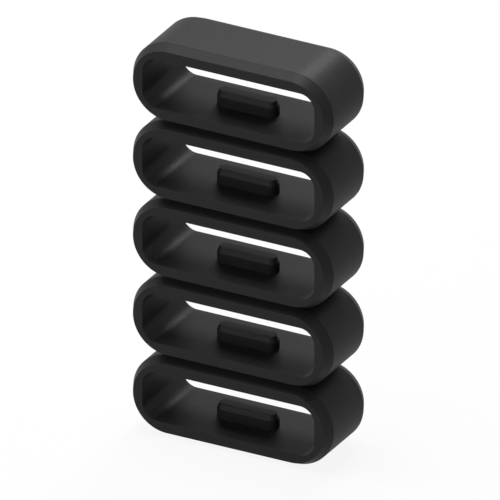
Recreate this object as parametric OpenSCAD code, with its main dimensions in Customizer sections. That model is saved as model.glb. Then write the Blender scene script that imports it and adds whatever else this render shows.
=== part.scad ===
// Set of five strap keepers: flat moulded loops, stacked one on the other. A watch strap's
// free end passes through each loop along Y, and the peg on the loop's floor enters one of
// the strap's holes. X runs across the strap, Y along it and Z up, with the origin in the
// middle of the stack's base.

/* [Strap] */
// Width of the strap that the keepers are made for
strap_w = 22; // [16:1:26]
// Play across the strap, both sides together
strap_play = 0.6; // [0.2:0.1:1.2]

/* [Loop] */
// Height of the slot, for both layers of the strap
slot_h = 6.35; // [5:0.05:9]
// Radius of the slot's four corners
slot_corner_r = 1.9; // [1:0.1:2.4]
// Thickness of the silicone all round the slot
wall = 1.9; // [1.4:0.1:3]
// Size of a keeper along the strap
loop_depth = 10; // [7:0.1:16]
// How far the bevel on the two outer rims cuts in from the outline
bevel_inset = 0.65; // [0.2:0.05:0.9]
// How far the same bevel runs along the strap
bevel_run = 1.3; // [0.4:0.05:2.2]

/* [Peg] */
// Size of the peg across the strap, over its round ends
peg_w = 8; // [5:0.1:10]
// Size of the peg along the strap
peg_depth = 2; // [1.4:0.1:4]
// How far the peg stands up from the loop's floor
peg_h = 1.85; // [1.2:0.05:3]
// How far the bevel round the peg's top cuts in
peg_bevel_inset = 0.3; // [0.1:0.05:0.6]
// How far the same bevel runs down the peg's side
peg_bevel_run = 0.65; // [0.2:0.05:1]

/* [Hidden] */
// Silicone black
loop_colour = [0.13, 0.13, 0.135];
// Outer size of a keeper
slot_w = strap_w + strap_play;
loop_w = slot_w + 2 * wall;
loop_h = slot_h + 2 * wall;
// Length by which a cut runs past what it cuts, and the peg goes into the wall under it
overrun = 0.5;
// Enough sides for each curve to be drawn as round
$fn = 96;

// Half of the loop's outer section, [distance from the middle plane, place along the strap]
function loop_section() =
    let (reach = loop_h / 2, face = loop_depth / 2, shoulder = face - bevel_run)
    [
        [0, -face],
        [reach - bevel_inset, -face],
        [reach, -shoulder],
        [reach, shoulder],
        [reach - bevel_inset, face],
        [0, face]
    ];

// Half of the peg's section, [distance from the middle plane, height over the floor]
function peg_section() =
    let (reach = peg_depth / 2)
    [
        [0, -overrun],
        [reach, -overrun],
        [reach, peg_h - peg_bevel_run],
        [reach - peg_bevel_inset, peg_h],
        [0, peg_h]
    ];

// Body with round ends, as wide as given along X: a straight stretch of the section and its
// mirror image, and the section turned about Z at both ends
module round_ended(section, width) {
    end_x = width / 2 - max([for (p = section) p[0]]);
    rotate([90, 0, 90])
        linear_extrude(2 * end_x, center = true) {
            polygon(section);
            mirror([1, 0]) polygon(section);
        }
    for (side = [-1, 1])
        translate([side * end_x, 0, 0])
            rotate_extrude() polygon(section);
}

// Flat outline of the slot: two crossed rectangles and a circle in each corner
module slot_outline() {
    square([slot_w - 2 * slot_corner_r, slot_h], center = true);
    square([slot_w, slot_h - 2 * slot_corner_r], center = true);
    for (x = [-1, 1], y = [-1, 1])
        translate([x * (slot_w / 2 - slot_corner_r), y * (slot_h / 2 - slot_corner_r)])
            circle(slot_corner_r);
}

// Loop about its own centre: bevelled outside, with the slot cut through along Y
module loop() {
    rotate([90, 0, 0])
        difference() {
            round_ended(loop_section(), loop_w);
            linear_extrude(loop_depth + 2 * overrun, center = true) slot_outline();
        }
}

// Peg that enters a hole of the strap, standing on the loop's floor at z = 0
module peg() {
    round_ended(peg_section(), peg_w);
}

// Keeper number n of the stack, counted from the base: one moulding of loop and peg
module keeper(n) {
    color(loop_colour)
        translate([0, 0, (n - 1) * loop_h]) {
            translate([0, 0, loop_h / 2]) loop();
            translate([0, 0, wall]) peg();
        }
}

keeper(1);  // keeper_1
keeper(2);  // keeper_2
keeper(3);  // keeper_3
keeper(4);  // keeper_4
keeper(5);  // keeper_5
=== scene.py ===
"""Looks of a stacked set of black silicone strap keepers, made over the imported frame.

Each CAD node is replaced by a finely rounded mesh of the same keeper: a bevelled loop with a flat
slot through it and a peg that grows out of its floor. The rest is the silicone, the white stage,
the soft lamps and the camera.
"""
import math

import bmesh
import bpy
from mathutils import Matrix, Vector


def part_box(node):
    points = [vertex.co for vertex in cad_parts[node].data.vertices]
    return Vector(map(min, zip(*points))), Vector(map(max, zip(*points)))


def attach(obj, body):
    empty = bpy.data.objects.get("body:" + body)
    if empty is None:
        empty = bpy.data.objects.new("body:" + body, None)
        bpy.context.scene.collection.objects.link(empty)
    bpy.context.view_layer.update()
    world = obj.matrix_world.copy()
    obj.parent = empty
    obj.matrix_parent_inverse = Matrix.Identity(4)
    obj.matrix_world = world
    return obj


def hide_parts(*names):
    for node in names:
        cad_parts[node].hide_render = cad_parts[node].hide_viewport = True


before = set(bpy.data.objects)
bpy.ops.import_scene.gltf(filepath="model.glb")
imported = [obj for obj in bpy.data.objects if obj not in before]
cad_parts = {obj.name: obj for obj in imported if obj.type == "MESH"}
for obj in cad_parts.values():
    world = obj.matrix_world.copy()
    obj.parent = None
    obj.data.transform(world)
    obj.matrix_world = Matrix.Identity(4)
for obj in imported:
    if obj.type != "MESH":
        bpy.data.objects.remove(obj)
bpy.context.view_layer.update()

MM = 0.001
COUNT = len(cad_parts)

# Outer size of one keeper, from the frame, and the middle of the whole stack
low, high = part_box("keeper_1")
LOOP_W, LOOP_D, LOOP_H = high - low
END_R = LOOP_H / 2
END_X = LOOP_W / 2 - END_R
STACK_CENTRE = Vector((0, 0, COUNT * LOOP_H / 2))

# The loop's other sizes, as the construction has them
WALL = 1.9 * MM
SLOT_R = 1.9 * MM
SLOT_X = LOOP_W / 2 - WALL
SLOT_Z = LOOP_H / 2 - WALL
BEVEL_INSET = 0.65 * MM
BEVEL_RUN = 1.3 * MM

# The peg's half sizes in plan, over its round ends, its height and the bevel round its top
PEG_X = 8 / 2 * MM
PEG_Y = 2 / 2 * MM
PEG_H = 1.85 * MM
PEG_BEVEL_INSET = 0.3 * MM
PEG_BEVEL_RUN = 0.65 * MM

# How finely the moulding's edges are rounded
RIM_R = 0.2 * MM
FACE_R = 0.05 * MM
MOUTH_R = 0.04 * MM
ROOT_R = 0.03 * MM
PEG_EDGE_R = 0.03 * MM
# A ring this far from a rounded edge keeps the flat beside it flat
SUPPORT = 0.025 * MM
ROUND_STEPS = 4

# Segments round the loop: one slot corner, and the upright between two, in shares of its height
CORNER_STEPS = 14
UPRIGHT = [0, 0.04, 0.3, 0.7, 0.96, 1]
END_STEPS = 2 * CORNER_STEPS + len(UPRIGHT) - 1
# Columns along a long side, left of the patch, as shares of its half width from the middle
SIDE_SHARES = [-1, -0.985, -0.9, -0.75, -0.6]
# Rings along Y: the outside between its bevels, and the slot from its mouth to the patch
OUTSIDE_STEPS = 6
MOUTH_STEPS = 3
# Rings on the flat rim, as shares of the way across it
RIM_SHARES = [1 / 3, 2 / 3]

# Segments round the peg: a quarter of a round end, and the straight between the ends
PEG_QUARTER = 6
PEG_STRAIGHT = 8
# The patch of the floor round the peg: its columns and rows, its share of the floor's straight
# width, and its half depth
PATCH_NX = 2 * PEG_QUARTER + PEG_STRAIGHT
PATCH_NY = 2 * PEG_QUARTER
PATCH_SHARE = 0.5
PATCH_Y = 2.4 * MM

# The silicone's darkest and lightest tone, how rough it is, and its gloss
TONES = [0.019, 0.021]
ROUGHNESS = [0.6, 0.65]
SILICONE_IOR = 1.42
# Clean silicone's would be 0.5 here: the moulded grain scatters most of it
GLOSS = 0.05
# The grain's smoother tips: the share of the surface that they take, and how rough they are
TIPS = 0.25
TIPS_ROUGHNESS = 0.44
# Each noise's size, and how many finer layers it has: the tone's bloom, the roughness's mottle, and
# the peel and the grain of the bump, with the depths of these two
BLOOM = (1.4 * MM, 3)
MOTTLE = (0.35 * MM, 2)
PEEL = (0.6 * MM, 1)
GRAIN = (0.22 * MM, 2)
PEEL_DEPTH = 0.002 * MM
GRAIN_DEPTH = 0.025 * MM
# Nearly all of a noise's values lie in this range
NOISE_RANGE = [0.3, 0.7]

WHITE = (1, 1, 1, 1)
FLOOR_HALF = 0.6
FLOOR_ROUGHNESS = 0.9
# The floor as a light bounces off it, and as the camera sees it: a faint shadow on white
FLOOR_TONE = 0.85
FLOOR_SEEN = 0.09
# Its glow for the camera, by the distance from the middle: white where it meets the world's white
GLOW = [0.9, 1]
GLOW_FROM = 0.06
GLOW_TO = 0.3

LAMP_DISTANCE = 0.3
# Each lamp's azimuth and elevation in degrees, its width in metres and its power in watts
LAMPS = {
    "top_box": (251, 84, 0.09, 0.465),
    "rear_box": (186, 48, 0.1, 0.365),
    "rear_low_box": (186, 38, 0.1, 0.085),
    "left_box": (285, 60, 0.2, 0.29),
    "front_box": (345, 22, 0.2, 0.227),
}

# The photograph's view: no perspective, and this many metres over its width and height
VIEW_AZIMUTH = 28.0
VIEW_ELEVATION = 26.56
VIEW_WIDTH = 58.085 * MM
VIEW_DISTANCE = 0.4
# How far the middle of the picture lies right of and below the middle of the stack
VIEW_RIGHT = 0.18 * MM
VIEW_DOWN = 1.105 * MM
NEAREST = 0.01
FARTHEST = 5


def spread(start, end, steps):
    """Evenly spaced values from start to end, both included."""
    return [start + (end - start) * k / steps for k in range(steps + 1)]


def straight_shares():
    """Places along a long side, from -1 to 1, with the patch's columns in the middle."""
    middle = spread(-PATCH_SHARE, PATCH_SHARE, PATCH_NX)
    return SIDE_SHARES + middle + [-share for share in reversed(SIDE_SHARES)]


def stadium(inset):
    """The outer outline cut in by inset, clockwise from the upper left, about the loop's centre."""
    radius = END_R - inset
    top = [(share * END_X, radius) for share in straight_shares()[:-1]]
    end = [(END_X + radius * math.sin(math.pi * k / END_STEPS),
            radius * math.cos(math.pi * k / END_STEPS)) for k in range(END_STEPS)]
    half = top + end
    return half + [(-x, -z) for x, z in half]


def slot_outline(grow):
    """The slot's outline widened by grow, with its points matched to the stadium's."""
    radius = SLOT_R + grow
    cx, cz = SLOT_X - SLOT_R, SLOT_Z - SLOT_R
    top = [(share * cx, cz + radius) for share in straight_shares()[:-1]]
    turn = [math.pi / 2 * k / CORNER_STEPS for k in range(CORNER_STEPS)]
    upper = [(cx + radius * math.sin(a), cz + radius * math.cos(a)) for a in turn]
    upright = [(cx + radius, cz - 2 * cz * share) for share in UPRIGHT[:-1]]
    lower = [(cx + radius * math.cos(a), -cz - radius * math.sin(a)) for a in turn]
    half = top + upper + upright + lower
    return half + [(-x, -z) for x, z in half]


def rounded_path(points, radii):
    """A 2D path with each inner corner turned into an arc of its radius, between two supports."""
    path = [points[0]]
    for before, corner, after, radius in zip(points, points[1:], points[2:], radii):
        corner = Vector(corner)
        back = (Vector(before) - corner).normalized()
        on = (Vector(after) - corner).normalized()
        half_angle = back.angle(on) / 2
        centre = corner + (back + on).normalized() * radius / math.sin(half_angle)
        reach = radius / math.tan(half_angle)
        first = corner + back * reach - centre
        last = corner + on * reach - centre
        sweep = first.angle(last)
        path.append(tuple(corner + back * (reach + SUPPORT)))
        for t in spread(0, 1, ROUND_STEPS):
            arm = (first * math.sin((1 - t) * sweep) + last * math.sin(t * sweep)) / math.sin(sweep)
            path.append(tuple(centre + arm))
        path.append(tuple(corner + on * (reach + SUPPORT)))
    path.append(points[-1])
    return path


def outer_rings():
    """(inset, y) of the rings over the outside, from the rear rim to the front rim."""
    face, shoulder = LOOP_D / 2, LOOP_D / 2 - BEVEL_RUN
    inner = BEVEL_INSET + 2 * FACE_R
    corners = [(inner, face), (BEVEL_INSET, face), (0, shoulder),
               (0, -shoulder), (BEVEL_INSET, -face), (inner, -face)]
    path = rounded_path(corners, [FACE_R, RIM_R, RIM_R, FACE_R])
    middle = len(path) // 2
    across = [(0, y) for y in spread(shoulder - RIM_R, RIM_R - shoulder, OUTSIDE_STEPS)]
    return path[:middle] + across + path[middle:]


def patch_depths():
    """Y of the patch's rings, from front to rear."""
    return spread(-PATCH_Y, PATCH_Y, PATCH_NY)


def inner_rings():
    """(grow, y) of the rings through the slot, from the front mouth to the rear one."""
    face = LOOP_D / 2
    outer = MOUTH_R + 2 * SUPPORT
    front = rounded_path([(outer, -face), (0, -face), (0, -face + outer)], [MOUTH_R])
    between = [(0, y) for y in spread(-face + outer, -PATCH_Y, MOUTH_STEPS)[1:-1]]
    half = front + between
    middle = [(0, y) for y in patch_depths()]
    return half + middle + [(grow, -y) for grow, y in reversed(half)]


def blended(ring_a, ring_b):
    """The rings across a flat rim, between its outer and inner edges."""
    return [[tuple(a + (b - a) * share for a, b in zip(p, q)) for p, q in zip(ring_a, ring_b)]
            for share in RIM_SHARES]


def loop_rings():
    """Every ring of the loop's skin as a list of points, in order, the last next to the first."""
    outer = [[(x, y, z) for x, z in stadium(inset)] for inset, y in outer_rings()]
    inner = [[(x, y, z) for x, z in slot_outline(grow)] for grow, y in inner_rings()]
    return outer + blended(outer[-1], inner[0]) + inner + blended(inner[-1], outer[0])


def patch_place():
    """The rings and the columns of the loop's skin that cross the patch round the peg."""
    depths = [y for _, y in inner_rings()]
    first_ring = len(outer_rings()) + len(RIM_SHARES) + depths.index(patch_depths()[0])
    first_column = len(stadium(0)) // 2 + straight_shares().index(-PATCH_SHARE)
    patch_rings = list(range(first_ring, first_ring + PATCH_NY + 1))
    patch_columns = list(range(first_column, first_column + PATCH_NX + 1))
    return patch_rings, patch_columns


def peg_outline(inset, height):
    """The peg's outline cut in by inset, from halfway down its front left quarter, to the right."""
    radius = PEG_Y - inset
    end_x = PEG_X - PEG_Y
    turn = [math.pi / 4 * k / PEG_QUARTER for k in range(4 * PEG_QUARTER)]
    right = [(end_x + radius * math.sin(a), -radius * math.cos(a)) for a in turn]
    rear = [(x, radius) for x in spread(end_x, -end_x, PEG_STRAIGHT)[:-1]]
    half = right + rear
    points = half + [(-x, -y) for x, y in half]
    start = len(points) - PEG_STRAIGHT - PEG_QUARTER
    return [(x, y, height) for x, y in points[start:] + points[:start]]


def peg_rings(floor):
    """The peg's rings from its root on the floor to the rim of its flat top."""
    foot, top_rim = -ROOT_R - 2 * SUPPORT, PEG_BEVEL_INSET + PEG_EDGE_R
    corners = [(foot, 0), (0, 0), (0, PEG_H - PEG_BEVEL_RUN), (PEG_BEVEL_INSET, PEG_H),
               (top_rim, PEG_H)]
    path = rounded_path(corners, [ROOT_R, PEG_EDGE_R, PEG_EDGE_R])
    return [peg_outline(inset, floor + z) for inset, z in path]


class Skin:
    """Collects the points and faces of one mesh, each point once."""

    def __init__(self):
        self.index, self.points, self.faces = {}, [], []

    def at(self, key, point):
        if key not in self.index:
            self.index[key] = len(self.points)
            self.points.append(point)
        return self.index[key]

    def quad(self, *corners):
        self.faces.append([self.at(key, point) for key, point in corners])


def add_loop(skin, rings, patch_rings, patch_columns):
    """Quads between all the loop's rings, apart from the patch that the peg stands on."""
    count = len(rings[0])
    for r, ring in enumerate(rings):
        s = (r + 1) % len(rings)
        for i in range(count):
            j = (i + 1) % count
            in_patch = r in patch_rings[:-1] and i in patch_columns[:-1]
            if not in_patch:
                skin.quad((("loop", r, i), ring[i]), (("loop", r, j), ring[j]),
                          (("loop", s, j), rings[s][j]), (("loop", s, i), rings[s][i]))


def patch_border(rings, patch_rings, patch_columns):
    """Keys and points round the patch, from its front left corner, to the right."""
    left_to_right = list(reversed(patch_columns))
    places = [(patch_rings[0], i) for i in left_to_right[:-1]]
    places += [(r, left_to_right[-1]) for r in patch_rings[:-1]]
    places += [(patch_rings[-1], i) for i in reversed(left_to_right[1:])]
    places += [(r, left_to_right[0]) for r in reversed(patch_rings[1:])]
    return [(("loop", r, i), rings[r][i]) for r, i in places]


def add_peg(skin, border, floor):
    """The peg's skin: out of the floor, up its walls and over its top."""
    outlines = peg_rings(floor)
    middle = [tuple((a + b) / 2 for a, b in zip(point, q))
              for (_, point), q in zip(border, outlines[0])]
    levels = [border]
    for n, outline in enumerate([middle] + outlines):
        levels.append([(("peg", n, k), point) for k, point in enumerate(outline)])
    for lower, upper in zip(levels, levels[1:]):
        for k in range(len(lower)):
            j = (k + 1) % len(lower)
            skin.quad(lower[k], lower[j], upper[j], upper[k])
    add_cap(skin, levels[-1])


def add_cap(skin, rim):
    """A grid of quads over the flat top, spanned between the rim's four sides."""
    nx, ny = PATCH_NX, PATCH_NY

    def side_point(i, j):
        if j == 0:
            return rim[i]
        if i == nx:
            return rim[nx + j]
        if j == ny:
            return rim[nx + ny + (nx - i)]
        if i == 0:
            return rim[(2 * nx + ny + (ny - j)) % len(rim)]
        return None

    def cap_point(i, j):
        found = side_point(i, j)
        if found:
            return found
        u, v = i / nx, j / ny
        front, back, left, right = (Vector(side_point(*place)[1])
                                    for place in ((i, 0), (i, ny), (0, j), (nx, j)))
        corners = [Vector(side_point(*place)[1]) for place in ((0, 0), (nx, 0), (0, ny), (nx, ny))]
        across = (1 - v) * front + v * back
        along = (1 - u) * left + u * right
        flat = ((1 - u) * (1 - v) * corners[0] + u * (1 - v) * corners[1]
                + (1 - u) * v * corners[2] + u * v * corners[3])
        return ("cap", i, j), tuple(across + along - flat)

    for i in range(nx):
        for j in range(ny):
            skin.quad(cap_point(i, j), cap_point(i + 1, j), cap_point(i + 1, j + 1),
                      cap_point(i, j + 1))


def face_outwards(mesh):
    """Turns every face of a closed mesh the same way round, outwards."""
    work = bmesh.new()
    work.from_mesh(mesh)
    bmesh.ops.recalc_face_normals(work, faces=work.faces)
    work.to_mesh(mesh)
    work.free()


def keeper_mesh(name, base):
    """One keeper with its underside at the height base."""
    rings = loop_rings()
    patch_rings, patch_columns = patch_place()
    skin = Skin()
    add_loop(skin, rings, patch_rings, patch_columns)
    add_peg(skin, patch_border(rings, patch_rings, patch_columns), -SLOT_Z)
    mesh = bpy.data.meshes.new(name)
    centre = base + LOOP_H / 2
    mesh.from_pydata([(x, y, z + centre) for x, y, z in skin.points], [], skin.faces)
    face_outwards(mesh)
    mesh.shade_smooth()
    return mesh


def shader(name):
    """A new material with its node tree and its Principled shader."""
    made = bpy.data.materials.new(name)
    made.use_nodes = True
    tree = made.node_tree
    return made, tree, tree.nodes["Principled BSDF"]


def noise(tree, size, detail):
    """Noise in the object's own space, size metres across, with so many finer layers in it."""
    place = tree.nodes.new("ShaderNodeTexCoord")
    node = tree.nodes.new("ShaderNodeTexNoise")
    node.inputs["Scale"].default_value = 1 / size
    node.inputs["Detail"].default_value = detail
    tree.links.new(place.outputs["Object"], node.inputs["Vector"])
    return node.outputs["Fac"]


def mapped(tree, source, start, end):
    """A noise stretched to run from start to end."""
    node = tree.nodes.new("ShaderNodeMapRange")
    node.inputs["From Min"].default_value = NOISE_RANGE[0]
    node.inputs["From Max"].default_value = NOISE_RANGE[1]
    node.inputs["To Min"].default_value = start
    node.inputs["To Max"].default_value = end
    tree.links.new(source, node.inputs["Value"])
    return node.outputs["Result"]


def bumped(tree, source, depth, under=None):
    """A bump of the given depth in metres, over an earlier one if there is one."""
    node = tree.nodes.new("ShaderNodeBump")
    node.inputs["Distance"].default_value = depth
    tree.links.new(source, node.inputs["Height"])
    if under:
        tree.links.new(under, node.inputs["Normal"])
    return node.outputs["Normal"]


def grey(tone):
    return (tone, tone, tone, 1)


def silicone():
    """Matt black moulded silicone: fine spark grain, smoother at its tips, and a faint bloom."""
    made, tree, bsdf = shader("silicone")
    tone = tree.nodes.new("ShaderNodeMix")
    tone.data_type = "RGBA"
    tone.inputs["A"].default_value = grey(TONES[0])
    tone.inputs["B"].default_value = grey(TONES[1])
    tree.links.new(noise(tree, *BLOOM), tone.inputs["Factor"])
    tree.links.new(tone.outputs["Result"], bsdf.inputs["Base Color"])
    mottle = mapped(tree, noise(tree, *MOTTLE), *ROUGHNESS)
    tree.links.new(mottle, bsdf.inputs["Roughness"])
    peel = bumped(tree, noise(tree, *PEEL), PEEL_DEPTH)
    grain = bumped(tree, noise(tree, *GRAIN), GRAIN_DEPTH, peel)
    tree.links.new(grain, bsdf.inputs["Normal"])
    tree.links.new(grain, bsdf.inputs["Coat Normal"])
    bsdf.inputs["IOR"].default_value = SILICONE_IOR
    bsdf.inputs["Specular IOR Level"].default_value = GLOSS
    bsdf.inputs["Coat Weight"].default_value = TIPS
    bsdf.inputs["Coat Roughness"].default_value = TIPS_ROUGHNESS
    bsdf.inputs["Coat IOR"].default_value = SILICONE_IOR
    return made


def make_keepers():
    """A keeper in place of each CAD node, riding on that node's body."""
    finish = silicone()
    for n in range(1, COUNT + 1):
        node, name = f"keeper_{n}", f"strap_keeper_{n}"
        piece = bpy.data.objects.new(name, keeper_mesh(name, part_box(node)[0].z))
        bpy.context.scene.collection.objects.link(piece)
        piece.data.materials.append(finish)
        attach(piece, f"loop_{n}")
        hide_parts(node)


def camera_ray(tree):
    """1 for what the camera sees, straight on or by way of gloss or glass, and 0 for light."""
    path = tree.nodes.new("ShaderNodeLightPath")
    total = path.outputs["Is Camera Ray"]
    for extra in ("Is Glossy Ray", "Is Transmission Ray"):
        node = tree.nodes.new("ShaderNodeMath")
        node.operation = "MAXIMUM"
        tree.links.new(total, node.inputs[0])
        tree.links.new(path.outputs[extra], node.inputs[1])
        total = node.outputs["Value"]
    return total


def seen_or_lit(tree, seen, lit):
    """One value for what the camera sees and another for what lights the object."""
    node = tree.nodes.new("ShaderNodeMapRange")
    node.inputs["To Min"].default_value = lit
    node.inputs["To Max"].default_value = seen
    tree.links.new(camera_ray(tree), node.inputs["Value"])
    return node.outputs["Result"]


def glow(tree):
    """The floor's glow for the camera, stronger towards its edge, and 0 for light."""
    place = tree.nodes.new("ShaderNodeTexCoord")
    distance = tree.nodes.new("ShaderNodeVectorMath")
    distance.operation = "LENGTH"
    tree.links.new(place.outputs["Object"], distance.inputs[0])
    faded = tree.nodes.new("ShaderNodeMapRange")
    faded.interpolation_type = "SMOOTHSTEP"
    faded.inputs["From Min"].default_value = GLOW_FROM
    faded.inputs["From Max"].default_value = GLOW_TO
    faded.inputs["To Min"].default_value = GLOW[0]
    faded.inputs["To Max"].default_value = GLOW[1]
    tree.links.new(distance.outputs["Value"], faded.inputs["Value"])
    shown = tree.nodes.new("ShaderNodeMath")
    shown.operation = "MULTIPLY"
    tree.links.new(camera_ray(tree), shown.inputs[0])
    tree.links.new(faded.outputs["Result"], shown.inputs[1])
    return shown.outputs["Value"]


def make_world():
    """White all round for the camera, and no light on the object."""
    world = bpy.data.worlds.new("studio")
    bpy.context.scene.world = world
    world.use_nodes = True
    tree = world.node_tree
    background = tree.nodes["Background"]
    background.inputs["Color"].default_value = WHITE
    tree.links.new(camera_ray(tree), background.inputs["Strength"])


def make_floor():
    """A white floor, lifted to white for the camera, that keeps the object's soft shadow."""
    mesh = bpy.data.meshes.new("floor")
    far = FLOOR_HALF
    mesh.from_pydata([(-far, -far, 0), (far, -far, 0), (far, far, 0), (-far, far, 0)], [],
                     [(0, 1, 2, 3)])
    floor = bpy.data.objects.new("floor", mesh)
    bpy.context.scene.collection.objects.link(floor)
    made, tree, bsdf = shader("white_floor")
    tree.links.new(seen_or_lit(tree, FLOOR_SEEN, FLOOR_TONE), bsdf.inputs["Base Color"])
    bsdf.inputs["Roughness"].default_value = FLOOR_ROUGHNESS
    bsdf.inputs["Specular IOR Level"].default_value = 0
    bsdf.inputs["Emission Color"].default_value = WHITE
    tree.links.new(glow(tree), bsdf.inputs["Emission Strength"])
    floor.data.materials.append(made)


def from_side(azimuth, elevation):
    """Direction from the stack to a viewer or lamp at these angles, in degrees."""
    a, e = math.radians(azimuth), math.radians(elevation)
    return Vector((math.sin(a) * math.cos(e), -math.cos(a) * math.cos(e), math.sin(e)))


def softbox(name, azimuth, elevation, size, power):
    """A square lamp that looks at the stack from the given side. Azimuth 0 is the front."""
    lamp = bpy.data.lights.new(name, "AREA")
    lamp.shape = "SQUARE"
    lamp.size = size
    lamp.energy = power
    holder = bpy.data.objects.new(name, lamp)
    bpy.context.scene.collection.objects.link(holder)
    holder.location = STACK_CENTRE + from_side(azimuth, elevation) * LAMP_DISTANCE
    holder.rotation_mode = "QUATERNION"
    holder.rotation_quaternion = (STACK_CENTRE - holder.location).to_track_quat("-Z", "Y")


def make_lamps():
    for name, (azimuth, elevation, size, power) in LAMPS.items():
        softbox(name, azimuth, elevation, size, power)


def make_camera():
    """A camera without perspective, turned and framed as the photograph is."""
    lens = bpy.data.cameras.new("camera")
    lens.type = "ORTHO"
    lens.ortho_scale = VIEW_WIDTH
    lens.clip_start = NEAREST
    lens.clip_end = FARTHEST
    camera = bpy.data.objects.new("camera", lens)
    bpy.context.scene.collection.objects.link(camera)
    back = from_side(VIEW_AZIMUTH, VIEW_ELEVATION)
    turn = (-back).to_track_quat("-Z", "Y")
    offset = turn @ Vector((VIEW_RIGHT, -VIEW_DOWN, 0))
    camera.location = STACK_CENTRE + back * VIEW_DISTANCE + offset
    camera.rotation_mode = "QUATERNION"
    camera.rotation_quaternion = turn
    bpy.context.scene.camera = camera


def main():
    bpy.context.scene.view_settings.view_transform = "Standard"
    make_camera()
    make_keepers()
    make_floor()
    make_world()
    make_lamps()


main()
